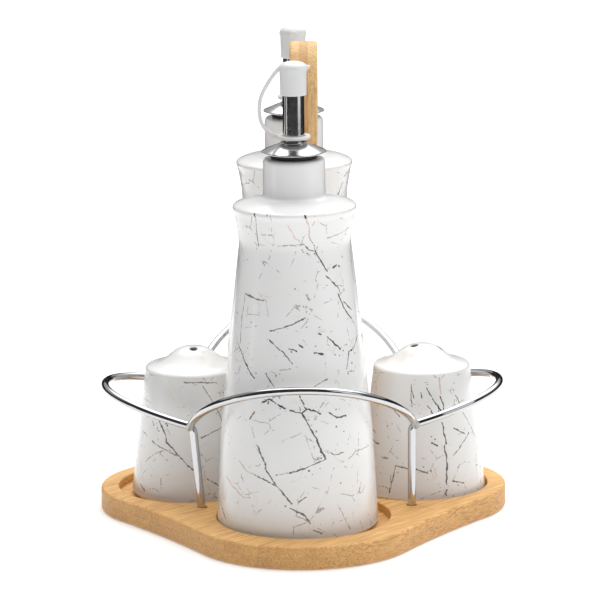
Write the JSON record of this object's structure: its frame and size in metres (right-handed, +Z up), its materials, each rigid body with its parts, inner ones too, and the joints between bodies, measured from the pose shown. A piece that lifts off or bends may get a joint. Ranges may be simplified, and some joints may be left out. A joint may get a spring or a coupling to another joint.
{
  "type": "cruet set",
  "caption": "Table cruet set: marbled ceramic oil bottles with capped steel pourers and ceramic shakers on a lobed bamboo tray with a handle board and a chrome wire rail.",
  "frame": {"origin": "under the middle of the tray, on the surface that the set stands on", "axes": "+Z up, -Y towards the front bottle, +X towards the right shaker"},
  "size_m": [0.2038, 0.235, 0.2354],
  "materials": {
    "bamboo": "oiled bamboo, satin",
    "marbled_glaze": "white gloss glaze with a fine broken dark and gold marble pattern",
    "chrome_wire": "polished chrome plate",
    "spout_steel": "polished stainless steel with fine drawing lines",
    "white_plastic": "soft white plastic",
    "dark_stopper": "dark soft plastic",
    "zinc_screw": "zinc plated"
  },
  "bodies": {
    "stand": {"tray": "bamboo", "handle_board": "bamboo", "handle_screw_front": "zinc_screw", "handle_screw_rear": "zinc_screw", "rail_left_wire": "chrome_wire", "rail_right_wire": "chrome_wire", "rail_front_arc": "chrome_wire", "rail_rear_arc": "chrome_wire"},
    "bottle_front": {"oil_bottle_front": "marbled_glaze"},
    "pourer_front": {"stopper_front": "dark_stopper", "spout_flange_front": "spout_steel", "spout_tube_front": "spout_steel", "breather_tube_front": "spout_steel", "cap_tether_front": "white_plastic"},
    "cap_front": {"spout_cap_front": "white_plastic"},
    "bottle_rear": {"oil_bottle_rear": "marbled_glaze"},
    "pourer_rear": {"stopper_rear": "dark_stopper", "spout_flange_rear": "spout_steel", "spout_tube_rear": "spout_steel", "breather_tube_rear": "spout_steel", "cap_tether_rear": "white_plastic"},
    "cap_rear": {"spout_cap_rear": "white_plastic"},
    "shaker_left": {"shaker_left": "marbled_glaze", "shaker_plug_left": "white_plastic"},
    "shaker_right": {"shaker_right": "marbled_glaze", "shaker_plug_right": "white_plastic"}
  },
  "joints": [
    {"name": "bottle_front_lift", "type": "slide", "parent": "stand", "child": "bottle_front", "axis": [0, 0, 1], "range_m": [0, 0.24]},
    {"name": "pourer_front_pull", "type": "slide", "parent": "bottle_front", "child": "pourer_front", "axis": [0, 0, 1], "range_m": [0, 0.055]},
    {"name": "cap_front_pull", "type": "slide", "parent": "pourer_front", "child": "cap_front", "axis": [0, 0, 1], "range_m": [0, 0.016], "deforming": ["cap_tether_front"]},
    {"name": "bottle_rear_lift", "type": "slide", "parent": "stand", "child": "bottle_rear", "axis": [0, 0, 1], "range_m": [0, 0.24]},
    {"name": "pourer_rear_pull", "type": "slide", "parent": "bottle_rear", "child": "pourer_rear", "axis": [0, 0, 1], "range_m": [0, 0.055]},
    {"name": "cap_rear_pull", "type": "slide", "parent": "pourer_rear", "child": "cap_rear", "axis": [0, 0, 1], "range_m": [0, 0.016], "deforming": ["cap_tether_rear"]},
    {"name": "shaker_left_lift", "type": "slide", "parent": "stand", "child": "shaker_left", "axis": [0, 0, 1], "range_m": [0, 0.24]},
    {"name": "shaker_right_lift", "type": "slide", "parent": "stand", "child": "shaker_right", "axis": [0, 0, 1], "range_m": [0, 0.24]}
  ]
}
